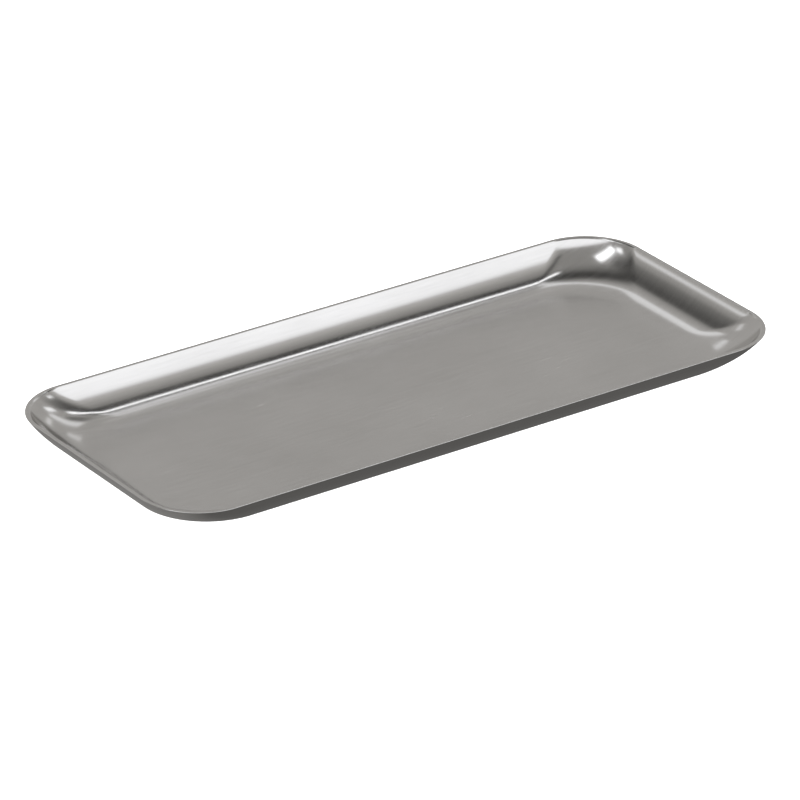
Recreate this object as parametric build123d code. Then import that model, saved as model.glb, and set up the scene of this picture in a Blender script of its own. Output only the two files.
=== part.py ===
from build123d import *
from math import acos, cos, radians, sin, tan
import os

os.makedirs("parts", exist_ok=True)

# A shallow tray pressed from one stainless sheet, in millimetres. The origin is the centre of the
# underside, +X runs along the tray and +Z points up out of it.

# Outside size over the rim
length = 220.0
width = 96.8
height = 11.1
# The sheet it is pressed from
sheet = 1.2
# The cove's radius and how far it turns up from the floor, then the easier radius of the bowed
# wall that carries on to the rim, all for the outer skin
cove_radius = 16.0
cove_turn = radians(37.0)
wall_radius = 23.5
# Corner radius of the rim seen from above, and how much rounder the floor's corners are
rim_corner = 20.0
corner_growth = 3.8
# Rounding of the two edges that the rim's cut leaves
edge_break = 0.2
# Level outlines that each skin is drawn through
levels = 12


def section(slope):
    """Run and rise from the floor's edge to where the outer skin has this slope."""
    in_cove = min(slope, cove_turn)
    run = cove_radius * sin(in_cove) + wall_radius * (sin(slope) - sin(in_cove))
    rise = cove_radius * (1 - cos(in_cove)) + wall_radius * (cos(in_cove) - cos(slope))
    return run, rise


# The wall's slope where it meets the rim, and how far the rim stands outside the floor's edge
cove_rise = cove_radius * (1 - cos(cove_turn))
rim_slope = acos(cos(cove_turn) - (height - cove_rise) / wall_radius)
reach = section(rim_slope)[0]
# The sharp outer edge, before it is rounded off, stands this far outside the finished size
tip = edge_break / tan(rim_slope / 2) - edge_break


def outline(slope, depth):
    """One level outline of the skin `depth` inside the outer one, where it has this slope."""
    run, rise = section(slope)
    out = run - reach - depth * sin(slope) + tip
    up = rise + depth * cos(slope)
    corner = rim_corner + corner_growth * (1 - run / reach) - depth * sin(slope)
    return Pos(0, 0, up) * RectangleRounded(length + 2 * out, width + 2 * out, corner)


def skin(depth):
    """The body inside one skin, from the floor up to where its slope is the rim's."""
    return loft([outline(rim_slope * i / (levels - 1), depth) for i in range(levels)])


# The pressing: the outer body less the hollow, whose skin runs on past the rim
tray = skin(0) - skin(sheet)

# The sheet's cut edge lies flat along the rim, with both its corners broken
rim_land = tray.faces().sort_by(Axis.Z)[-1]
tray = fillet(rim_land.edges(), edge_break)

export_step(tray, "parts/tray.step")
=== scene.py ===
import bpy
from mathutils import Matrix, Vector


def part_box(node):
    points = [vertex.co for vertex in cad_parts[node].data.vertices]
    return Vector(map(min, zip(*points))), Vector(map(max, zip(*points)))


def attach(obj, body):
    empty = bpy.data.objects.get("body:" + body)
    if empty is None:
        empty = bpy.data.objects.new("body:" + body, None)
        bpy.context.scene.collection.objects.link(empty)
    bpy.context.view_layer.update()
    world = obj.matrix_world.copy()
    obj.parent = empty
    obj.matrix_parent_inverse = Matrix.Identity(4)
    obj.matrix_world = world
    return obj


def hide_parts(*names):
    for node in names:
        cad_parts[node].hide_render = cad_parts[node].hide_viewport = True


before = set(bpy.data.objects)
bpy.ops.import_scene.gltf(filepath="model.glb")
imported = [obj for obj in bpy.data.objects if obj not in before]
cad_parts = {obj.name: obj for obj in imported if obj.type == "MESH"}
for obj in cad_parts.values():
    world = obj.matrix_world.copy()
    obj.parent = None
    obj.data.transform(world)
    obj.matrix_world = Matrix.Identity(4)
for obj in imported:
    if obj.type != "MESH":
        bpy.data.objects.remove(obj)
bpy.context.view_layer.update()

from collections import namedtuple
from math import cos, pi, radians, sin, tan

import bmesh
import bpy
import numpy as np
from mathutils import Vector

# ---------------------------------------------------------------- sizes, in metres
low, high = (np.array(corner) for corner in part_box("tray"))
length, width, height = high - low

sheet = 0.0012
cove_radius = 0.016
cove_turn = radians(37.0)
wall_radius = 0.0235
rim_corner = 0.020
corner_growth = 0.0038
edge_break = 0.0002

# How finely the mesh is divided: rings up each skin, over each flat floor, round the outer and
# inner corner of the cut edge and across its land, then points along a side, an end and a corner
skin_rings = 64
floor_rings = 14
outer_edge_rings = 12
inner_edge_rings = 7
land_rings = 7
side_points = 56
end_points = 24
corner_points = 40
# Corner radius of the smallest ring on a flat floor
least_corner = 0.0004


# ---------------------------------------------------------------- the pressing
def section(slope):
    """Run and rise from the floor's edge to where the outer skin has this slope: an arc of
    cove_radius up to cove_turn, then an arc of wall_radius. Along each arc the run grows by
    radius x the change of sine, and the rise by radius x the change of cosine."""
    in_cove = np.minimum(slope, cove_turn)
    run = cove_radius * np.sin(in_cove) + wall_radius * (np.sin(slope) - np.sin(in_cove))
    rise = cove_radius * (1 - np.cos(in_cove)) + wall_radius * (np.cos(in_cove) - np.cos(slope))
    return run, rise


# The wall's slope at the rim, how far the rim stands outside the floor's edge, and how far the
# outer edge would stand outside the finished size if it were sharp
cove_rise = cove_radius * (1 - cos(cove_turn))
rim_slope = float(np.arccos(cos(cove_turn) - (height - cove_rise) / wall_radius))
reach = section(rim_slope)[0]
tip = edge_break / tan(rim_slope / 2) - edge_break


def skin_levels(slope, depth):
    """Level outlines of the skin lying `depth` inside the outer one, as rows of (how far outside
    the finished rim, height, corner radius): the outer skin's point moved `depth` along the
    surface's normal."""
    run, rise = section(slope)
    out = run - reach - depth * np.sin(slope) + tip
    corner = rim_corner + corner_growth * (1 - run / reach) - depth * np.sin(slope)
    return np.stack([out, rise + depth * np.cos(slope), corner], axis=1)


def slope_at_height(depth, wanted):
    """The slope of the skin `depth` inside the outer one where it stands `wanted` high, read from
    a fine run of slopes."""
    slope = np.linspace(0, rim_slope, 4001)
    return float(np.interp(wanted, skin_levels(slope, depth)[:, 1], slope))


def floor_levels(start):
    """Rings that step inward over the flat floor from the level `start`, each an equal offset
    inside the last, until the corners have almost no radius left."""
    inward = np.linspace(0, start[2] - least_corner, floor_rings)[1:]
    return np.stack([start[0] - inward, np.full_like(inward, start[1]), start[2] - inward], axis=1)


def edge_levels(centre_out, first, last, count):
    """The rounded corner of the cut edge: points of a circle of radius edge_break whose top is at
    rim height, from angle `first` to angle `last`."""
    angle = np.linspace(first, last, count)
    out = centre_out + edge_break * np.cos(angle)
    up = height - edge_break + edge_break * np.sin(angle)
    return np.stack([out, up, rim_corner + out - tip], axis=1)


def rim_outline(level):
    """One closed outline per level: a rounded rectangle, each straight divided evenly and each
    corner by equal angles, so that point k of one level stands above point k of the next.
    A corner's centre is (sx, sy) times the half lengths of the straights, and its points are that
    centre plus radius x (cosine, sine). On a straight, sx or sy passes evenly to the next's."""
    out, up, corner = (level[:, i : i + 1] for i in range(3))
    straight_x = length / 2 + out - corner
    straight_y = width / 2 + out - corner
    quarter = np.linspace(0, pi / 2, corner_points + 1)[None, :]
    corners = ((1, 1), (-1, 1), (-1, -1), (1, -1))
    points = []
    for number, (sx, sy) in enumerate(corners):
        angle = quarter + number * pi / 2
        x = sx * straight_x + corner * np.cos(angle)
        y = sy * straight_y + corner * np.sin(angle)
        points.append(np.stack([x, y], axis=2))
        next_sx, next_sy = corners[(number + 1) % 4]
        steps = side_points if sy == next_sy else end_points
        share = np.linspace(0, 1, steps + 1)[None, 1:-1]
        turned = angle[0, -1]
        x = (sx + (next_sx - sx) * share) * straight_x + corner * cos(turned)
        y = (sy + (next_sy - sy) * share) * straight_y + corner * sin(turned)
        points.append(np.stack([x, y], axis=2))
    ring = np.concatenate(points, axis=1)
    return np.concatenate([ring, np.broadcast_to(up[:, :, None], ring.shape[:2] + (1,))], axis=2)


def sheet_rings():
    """The whole sheet's surface as rings, from the middle of the underside out over the outer
    skin, round the cut edge, down the inner skin and in to the middle of the floor."""
    outer_end = slope_at_height(0, height - edge_break * (1 + cos(rim_slope)))
    inner_end = slope_at_height(sheet, height - edge_break * (1 - cos(rim_slope)))
    outer = skin_levels(np.linspace(0, outer_end, skin_rings), 0)
    inner = skin_levels(np.linspace(inner_end, 0, skin_rings), sheet)
    inner_centre = inner[0, 0] + edge_break * sin(inner_end)
    outer_edge = edge_levels(-edge_break, outer_end - pi / 2, pi / 2, outer_edge_rings)[1:]
    inner_edge = edge_levels(inner_centre, pi / 2, pi / 2 + inner_end, inner_edge_rings)[:-1]
    land = np.linspace(outer_edge[-1], inner_edge[0], land_rings)[1:-1]
    underside = floor_levels(outer[0])[::-1]
    floor = floor_levels(inner[-1])
    return rim_outline(np.concatenate([underside, outer, outer_edge, land, inner_edge, inner, floor]))


def pressed_tray():
    """The sheet as one closed mesh: each ring is joined to the next by a band of quads, and the
    first and last rings are filled. Its UV map is the plan view, for the direction of the grain."""
    rings = sheet_rings()
    rows, around = rings.shape[:2]
    index = np.arange(rows * around).reshape(rows, around)
    here, there = index[:-1], index[1:]
    quads = np.stack([here, np.roll(here, -1, 1), np.roll(there, -1, 1), there], axis=2).reshape(-1, 4)
    faces = quads.tolist() + [index[0][::-1].tolist(), index[-1].tolist()]
    mesh = bpy.data.meshes.new("pressed_tray")
    mesh.from_pydata(rings.reshape(-1, 3).tolist(), [], faces)
    work = bmesh.new()
    work.from_mesh(mesh)
    if work.calc_volume(signed=True) < 0:
        bmesh.ops.reverse_faces(work, faces=work.faces)
    work.to_mesh(mesh)
    work.free()
    mesh.polygons.foreach_set("use_smooth", np.ones(len(mesh.polygons), dtype=bool))
    grain = mesh.uv_layers.new(name="grain")
    corner_vertex = np.empty(len(mesh.loops), dtype=np.int32)
    mesh.loops.foreach_get("vertex_index", corner_vertex)
    flat = rings.reshape(-1, 3)[corner_vertex, :2] / length + 0.5
    grain.data.foreach_set("uv", flat.ravel())
    mesh.update()
    piece = bpy.data.objects.new("pressed_tray", mesh)
    bpy.context.scene.collection.objects.link(piece)
    return piece


# ---------------------------------------------------------------- shader nodes
class Nodes:
    """Adds shader nodes in a row and joins them: a value given for a socket is set on it, and a
    socket given for a socket is linked to it."""

    def __init__(self, tree):
        self.tree = tree
        tree.nodes.clear()

    def add(self, kind, inputs=None, **settings):
        node = self.tree.nodes.new(kind)
        for name, value in settings.items():
            setattr(node, name, value)
        for key, value in (inputs or {}).items():
            if isinstance(value, bpy.types.NodeSocket):
                self.tree.links.new(value, node.inputs[key])
            else:
                node.inputs[key].default_value = value
        return node

    def math(self, operation, a, b=0.0):
        return self.add("ShaderNodeMath", {0: a, 1: b}, operation=operation).outputs[0]

    def vector(self, operation, a, b=(0, 0, 0)):
        return self.add("ShaderNodeVectorMath", {0: a, 1: b}, operation=operation).outputs[0]

    def parts(self, vector):
        """The three numbers of a vector."""
        return self.add("ShaderNodeSeparateXYZ", {0: vector}).outputs

    def turn(self, vector, angle):
        """The vector turned about the vertical."""
        inputs = {"Vector": vector, "Angle": angle}
        return self.add("ShaderNodeVectorRotate", inputs, rotation_type="Z_AXIS").outputs[0]

    def span(self, value, low_in, high_in, low_out, high_out, ease="LINEAR"):
        """The value carried from one range to another, held at its ends."""
        inputs = {0: value, 1: low_in, 2: high_in, 3: low_out, 4: high_out}
        return self.add("ShaderNodeMapRange", inputs, interpolation_type=ease).outputs[0]

    def blend(self, share, first, second):
        """A colour that passes from the first to the second as `share` goes from 0 to 1."""
        inputs = {"Factor": share, "A": first, "B": second}
        return self.add("ShaderNodeMix", inputs, data_type="RGBA").outputs["Result"]

    def noise(self, place, scale, detail, roughness):
        inputs = {"Vector": place, "Scale": scale, "Detail": detail, "Roughness": roughness}
        return self.add("ShaderNodeTexNoise", inputs).outputs[0]


# ---------------------------------------------------------------- brushed steel
# Two sets of brush lines: noise cells per metre across and along them, a shift that keeps them
# apart, and each one's share of the grain
BrushLines = namedtuple("BrushLines", "across along shift share")
fine_lines = BrushLines(across=2600.0, along=90.0, shift=0.0, share=0.6)
coarse_lines = BrushLines(across=1150.0, along=40.0, shift=3.7, share=0.4)
# Cloudiness from polishing, in cells per metre
cloud_cells = 28.0
dull_steel = (0.575, 0.564, 0.546, 1)
bright_steel = (0.645, 0.634, 0.616, 1)
# Roughness of the finest and coarsest grain, what the clouds take or add, and what the flat floor
# adds, fading out over these heights at the foot of the cove
grain_roughness = (0.12, 0.165)
cloud_roughness = 0.012
floor_roughness = 0.1
floor_fade = (sheet + 0.0001, sheet + 0.0009)
# Handling scratches, as cell edges: cells per metre, turn from the grain, width and depth
scratch_cells = (60.0, 420.0, 60.0)
scratch_turn = radians(7)
scratch_width = 0.012
scratch_depth = 0.12
# Height of the grain in metres, and how strongly it is felt
relief_height = 0.00002
relief_strength = 0.05


def brushed_steel():
    """Satin stainless brushed along the tray before pressing: fine lines along X in every plane
    of constant Y, a slow cloudiness from polishing, and a few fine handling scratches. The flat
    floor is a little rougher than the wall that the press has drawn smooth."""
    steel = bpy.data.materials.new("brushed_steel")
    steel.use_nodes = True
    n = Nodes(steel.node_tree)
    place = n.add("ShaderNodeTexCoord").outputs["Object"]
    lines = []
    for brush in (fine_lines, coarse_lines):
        scale = (brush.along, brush.across, brush.along)
        inputs = {"Vector": place, "Scale": scale, "Location": (brush.shift,) * 3}
        stretched = n.add("ShaderNodeMapping", inputs).outputs[0]
        lines.append(n.math("MULTIPLY", n.noise(stretched, 1.0, 2.0, 0.6), brush.share))
    grain = n.math("ADD", lines[0], lines[1])
    cloud = n.noise(place, cloud_cells, 3.0, 0.5)
    tone = n.math("ADD", n.math("MULTIPLY", grain, 0.5), n.math("MULTIPLY", cloud, 0.5))
    colour = n.blend(n.span(tone, 0.36, 0.64, 0.0, 1.0), dull_steel, bright_steel)

    from_grain = n.span(grain, 0.35, 0.65, *grain_roughness)
    from_cloud = n.span(cloud, 0.3, 0.7, -cloud_roughness, cloud_roughness)
    from_floor = n.span(n.parts(place)[2], *floor_fade, floor_roughness, 0.0, "SMOOTHSTEP")
    rough = n.math("ADD", n.math("ADD", from_grain, from_cloud), from_floor)

    inputs = {"Vector": place, "Scale": scratch_cells, "Rotation": (0.0, 0.0, scratch_turn)}
    scratch_place = n.add("ShaderNodeMapping", inputs).outputs[0]
    inputs = {"Vector": scratch_place, "Scale": 1.0}
    cell_edge = n.add("ShaderNodeTexVoronoi", inputs, feature="DISTANCE_TO_EDGE").outputs[0]
    scratch = n.span(cell_edge, 0.0, scratch_width, 1.0, 0.0)
    relief = n.math("SUBTRACT", grain, n.math("MULTIPLY", scratch, scratch_depth))
    inputs = {"Height": relief, "Strength": relief_strength, "Distance": relief_height}
    bump = n.add("ShaderNodeBump", inputs).outputs[0]
    along_grain = n.add("ShaderNodeTangent", direction_type="UV_MAP", uv_map="grain").outputs[0]
    shader = n.add(
        "ShaderNodeBsdfPrincipled",
        {
            "Base Color": colour,
            "Metallic": 1.0,
            "Roughness": rough,
            "Anisotropic": 0.12,
            "Anisotropic Rotation": 0.25,
            "Normal": bump,
            "Tangent": along_grain,
        },
    ).outputs[0]
    n.add("ShaderNodeOutputMaterial", {"Surface": shader})
    return steel


tray = pressed_tray()
tray.data.materials.append(brushed_steel())
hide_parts("tray")
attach(tray, "root")


# ---------------------------------------------------------------- floor, light and camera
view_azimuth = radians(-34.9605)
view_elevation = radians(25.969)
view_distance = 1.8116
view_target = Vector((-0.01267, -0.01788, float(height)))
focal_length = 277.32

# The floor ends where the lamp above it still shows it white, and lies just under the tray
floor_radius = 1.6
floor_corners = 96
floor_gap = 0.00002


def pale_floor():
    """A round floor under the tray, white and matt: points of a circle. It takes no part in the
    steel's reflections, where the studio stands in for it."""
    angle = np.linspace(0, 2 * pi, floor_corners, endpoint=False)
    level = np.full(floor_corners, low[2] - floor_gap)
    rim = np.stack([floor_radius * np.cos(angle), floor_radius * np.sin(angle), level], axis=1)
    mesh = bpy.data.meshes.new("pale_floor")
    mesh.from_pydata(rim.tolist(), [], [list(range(floor_corners))])
    floor = bpy.data.objects.new("pale_floor", mesh)
    bpy.context.scene.collection.objects.link(floor)
    paint = bpy.data.materials.new("pale_floor")
    paint.use_nodes = True
    n = Nodes(paint.node_tree)
    inputs = {"Base Color": (0.9, 0.9, 0.9, 1), "Roughness": 0.9, "Specular IOR Level": 0.0}
    matt = n.add("ShaderNodeBsdfPrincipled", inputs).outputs[0]
    n.add("ShaderNodeOutputMaterial", {"Surface": matt})
    mesh.materials.append(paint)
    floor.visible_glossy = False
    return floor


pale_floor()

# The studio's panels lie on a flat disc: straight up is its centre and the horizon its edge, at 1.
# A panel has its centre (to the right, ahead of the camera), its half sizes, a turn in degrees,
# the half width of its soft edge and its strength.
Panel = namedtuple("Panel", "centre half turn soft strength")

# Big softboxes behind the camera, which the far wall shows, and the faint spill round one of them
softboxes = (
    Panel(centre=(0.05, -0.42), half=(0.7, 0.2), turn=2, soft=0.03, strength=1.5),
    Panel(centre=(0.61, -0.33), half=(0.155, 0.295), turn=0, soft=0.02, strength=1.45),
)
spill = Panel(centre=(0.62, -0.38), half=(0.23, 0.43), turn=0, soft=0.09, strength=0.3)
# Bright lamps overhead: two that the far right corner catches, and the thin strip that draws the
# line along the far cove
overhead = (
    Panel(centre=(-0.24, -0.06), half=(0.135, 0.05), turn=28, soft=0.02, strength=2.8),
    Panel(centre=(-0.445, -0.06), half=(0.055, 0.035), turn=-30, soft=0.02, strength=2.2),
    Panel(centre=(0.273, 0.247), half=(0.155, 0.018), turn=41, soft=0.012, strength=2.8),
)
# Long cards ahead, which draw light lines along the foot of the right wall, along the far cove
# and in the left corner
long_cards = (
    Panel(centre=(-0.245, 0.5), half=(0.135, 0.055), turn=8, soft=0.03, strength=1.05),
    Panel(centre=(-0.08, 0.43), half=(0.23, 0.022), turn=-12, soft=0.02, strength=1.25),
    Panel(centre=(0.135, 0.345), half=(0.11, 0.02), turn=-33, soft=0.015, strength=1.25),
    Panel(centre=(0.32, 0.535), half=(0.13, 0.045), turn=0, soft=0.03, strength=1.1),
)
# Small cards to the left, ahead and to the right, which show near the rim of the right wall and
# as spots in the corners
small_cards = (
    Panel(centre=(-0.745, 0.2), half=(0.03, 0.06), turn=0, soft=0.03, strength=1.2),
    Panel(centre=(-0.515, 0.485), half=(0.09, 0.025), turn=44, soft=0.02, strength=1.05),
    Panel(centre=(-0.22, 0.69), half=(0.085, 0.03), turn=28, soft=0.02, strength=1.1),
    Panel(centre=(0.08, 0.52), half=(0.025, 0.04), turn=0, soft=0.03, strength=0.85),
    Panel(centre=(0.177, 0.69), half=(0.06, 0.03), turn=0, soft=0.02, strength=0.95),
    Panel(centre=(0.38, 0.68), half=(0.03, 0.08), turn=20, soft=0.03, strength=1.0),
    Panel(centre=(0.485, 0.45), half=(0.035, 0.055), turn=-20, soft=0.02, strength=1.6),
    Panel(centre=(0.62, 0.17), half=(0.02, 0.05), turn=0, soft=0.02, strength=1.9),
)
# Black flags, which take light away from the grey behind them
flags = (
    Panel(centre=(-0.52, 0.285), half=(0.13, 0.05), turn=25, soft=0.04, strength=0.13),
    Panel(centre=(0.28, 0.45), half=(0.07, 0.05), turn=0, soft=0.03, strength=0.3),
    Panel(centre=(0.3, 0.04), half=(0.03, 0.16), turn=0, soft=0.03, strength=0.22),
    Panel(centre=(-0.45, 0.1), half=(0.2, 0.06), turn=-12, soft=0.05, strength=0.16),
)
# The dark ceiling, the least that a flag leaves, and what a camera sees in place of the studio
ceiling = 0.07
least_glow = 0.06
backdrop = 1.3
# Warm where the studio is grey, and neutral on the steel where a lit panel shows
warm_light = (1.0, 0.985, 0.965, 1)
cool_light = (0.985, 1.0, 1.04, 1)


def panel_glow(n, disc, panel):
    """A panel's light: its strength, times a soft step down past each half size."""
    local = n.vector("SUBTRACT", disc, (*panel.centre, 0))
    local = n.turn(local, -radians(panel.turn))
    beyond = n.parts(n.vector("SUBTRACT", n.vector("ABSOLUTE", local), (*panel.half, 0)))
    cover = n.math(
        "MULTIPLY",
        n.span(beyond[0], -panel.soft, panel.soft, 1.0, 0.0, "SMOOTHSTEP"),
        n.span(beyond[1], -panel.soft, panel.soft, 1.0, 0.0, "SMOOTHSTEP"),
    )
    return n.math("MULTIPLY", cover, panel.strength)


def studio():
    """The room as the steel sees it: grey ahead, behind and near the horizon, a dark ceiling, and
    soft lit panels. A direction is placed on the disc at its level heading x its angle from
    straight up, with a right angle counted as 1. Below the horizon it is dark grey."""
    room = bpy.data.worlds.new("studio")
    bpy.context.scene.world = room
    room.use_nodes = True
    n = Nodes(room.node_tree)
    direction = n.add("ShaderNodeTexCoord").outputs["Generated"]
    right, ahead, up = n.parts(n.turn(direction, -view_azimuth))
    from_top = n.math("MULTIPLY", n.math("ARCCOSINE", up), 2 / pi)
    heading = n.add("ShaderNodeCombineXYZ", {0: right, 1: ahead, 2: 0.0}).outputs[0]
    inputs = {0: n.vector("NORMALIZE", heading), "Scale": from_top}
    disc = n.add("ShaderNodeVectorMath", inputs, operation="SCALE").outputs[0]
    forward = n.parts(disc)[1]

    ahead_grey = n.span(forward, 0.27, 0.4, ceiling, 0.49, "SMOOTHSTEP")
    behind_grey = n.span(forward, 0.04, 0.24, 0.36, ceiling, "SMOOTHSTEP")
    horizon = n.span(from_top, 0.42, 0.82, ceiling, 0.5, "SMOOTHSTEP")
    glow = n.math("MAXIMUM", n.math("MAXIMUM", ahead_grey, horizon), behind_grey)
    for flag in flags:
        glow = n.math("SUBTRACT", glow, panel_glow(n, disc, flag))
    glow = n.math("MAXIMUM", glow, least_glow)
    glow = n.math("ADD", glow, panel_glow(n, disc, spill))
    for lit in softboxes + overhead + long_cards + small_cards:
        glow = n.math("MAXIMUM", glow, panel_glow(n, disc, lit))

    below = n.span(right, -0.2, 0.1, 0.26, 0.14, "SMOOTHSTEP")
    risen = n.span(up, -0.12, 0.06, 0.0, 1.0, "SMOOTHSTEP")
    sunk = n.math("MULTIPLY", below, n.math("SUBTRACT", 1.0, risen))
    glow = n.math("ADD", n.math("MULTIPLY", glow, risen), sunk)
    seen = n.add("ShaderNodeLightPath").outputs["Is Camera Ray"]
    reflected = n.math("MULTIPLY", glow, n.math("SUBTRACT", 1.0, seen))
    strength = n.math("ADD", reflected, n.math("MULTIPLY", seen, backdrop))
    tint = n.blend(n.span(glow, 0.55, 1.2, 0.0, 1.0), warm_light, cool_light)
    sky = n.add("ShaderNodeBackground", {"Color": tint, "Strength": strength}).outputs[0]
    n.add("ShaderNodeOutputWorld", {"Surface": sky})


def floor_wash():
    """A round lamp over the floor that keeps it white. It casts no shadow, and neither the steel
    nor the camera sees it."""
    wash = bpy.data.lights.new("floor_wash", "AREA")
    wash.shape = "DISK"
    wash.size = 3.0
    wash.energy = 130
    wash.use_shadow = False
    lamp = bpy.data.objects.new("floor_wash", wash)
    lamp.location = (0, 0, 2.2)
    lamp.visible_glossy = False
    lamp.visible_camera = False
    bpy.context.scene.collection.objects.link(lamp)


def view_camera():
    """A long lens that looks at view_target from view_distance away."""
    level = cos(view_elevation)
    back = Vector((sin(view_azimuth) * level, -cos(view_azimuth) * level, sin(view_elevation)))
    lens = bpy.data.cameras.new("camera")
    lens.sensor_width = 36.0
    lens.lens = focal_length
    lens.clip_start = 0.05
    lens.clip_end = 60.0
    camera = bpy.data.objects.new("camera", lens)
    camera.location = view_target + back * view_distance
    camera.rotation_euler = (-back).to_track_quat("-Z", "Y").to_euler()
    bpy.context.scene.collection.objects.link(camera)
    return camera


studio()
floor_wash()
bpy.context.scene.camera = view_camera()
bpy.context.scene.view_settings.view_transform = "Standard"
